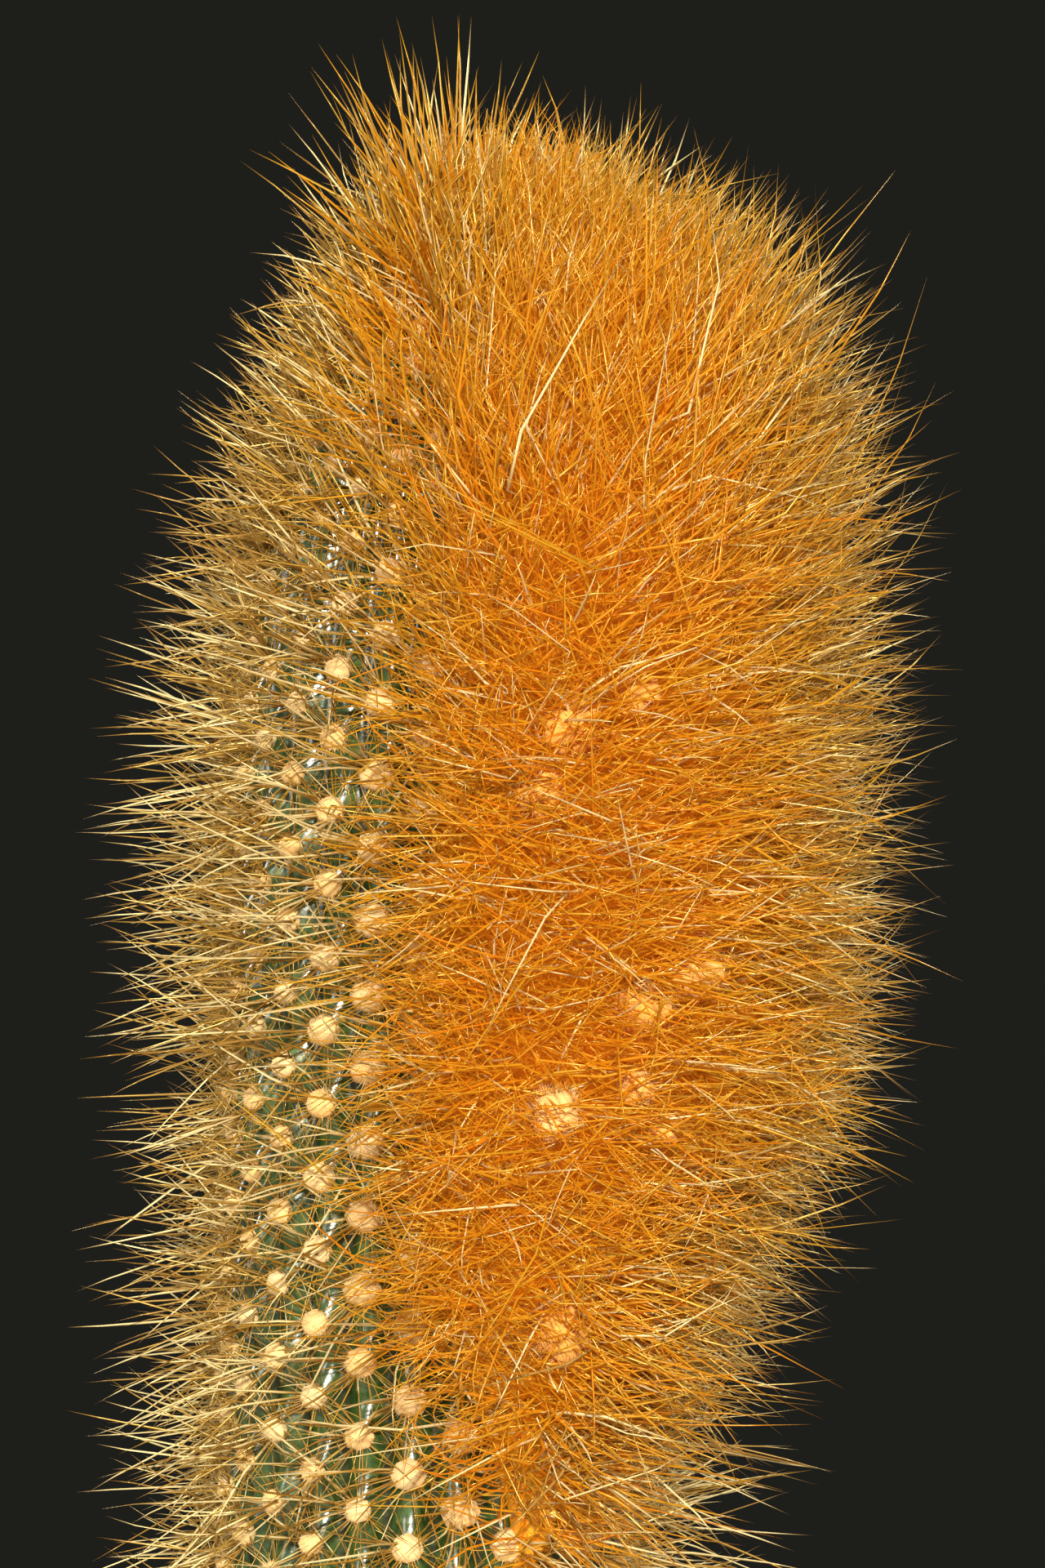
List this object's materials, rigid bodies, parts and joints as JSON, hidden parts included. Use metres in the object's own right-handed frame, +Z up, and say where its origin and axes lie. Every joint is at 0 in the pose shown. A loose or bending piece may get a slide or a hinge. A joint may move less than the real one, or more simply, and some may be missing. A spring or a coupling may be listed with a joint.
{
  "type": "potted coleocephalocereus buxbaumianus",
  "caption": "Columnar ribbed cactus densely covered in straw spines, with an orange bristly cephalium down one side, standing in soil in a plain clay pot.",
  "frame": {"origin": "middle of the pot's underside", "axes": "+Z up along the stem; -Y is the front, the side that the picture shows; the cephalium faces between -Y and +X"},
  "size_m": [0.17, 0.17, 0.4546],
  "materials": {
    "clay": "matt fired clay, unglazed",
    "soil": "loose gritty potting soil",
    "stem_and_spines": "glossy green skin under straw-coloured spines",
    "cephalium_bristles": "dense orange bristles over cream wool"
  },
  "bodies": {
    "root": {"pot": "clay", "soil": "soil", "stem": "stem_and_spines", "cephalium": "cephalium_bristles"}
  },
  "joints": []
}
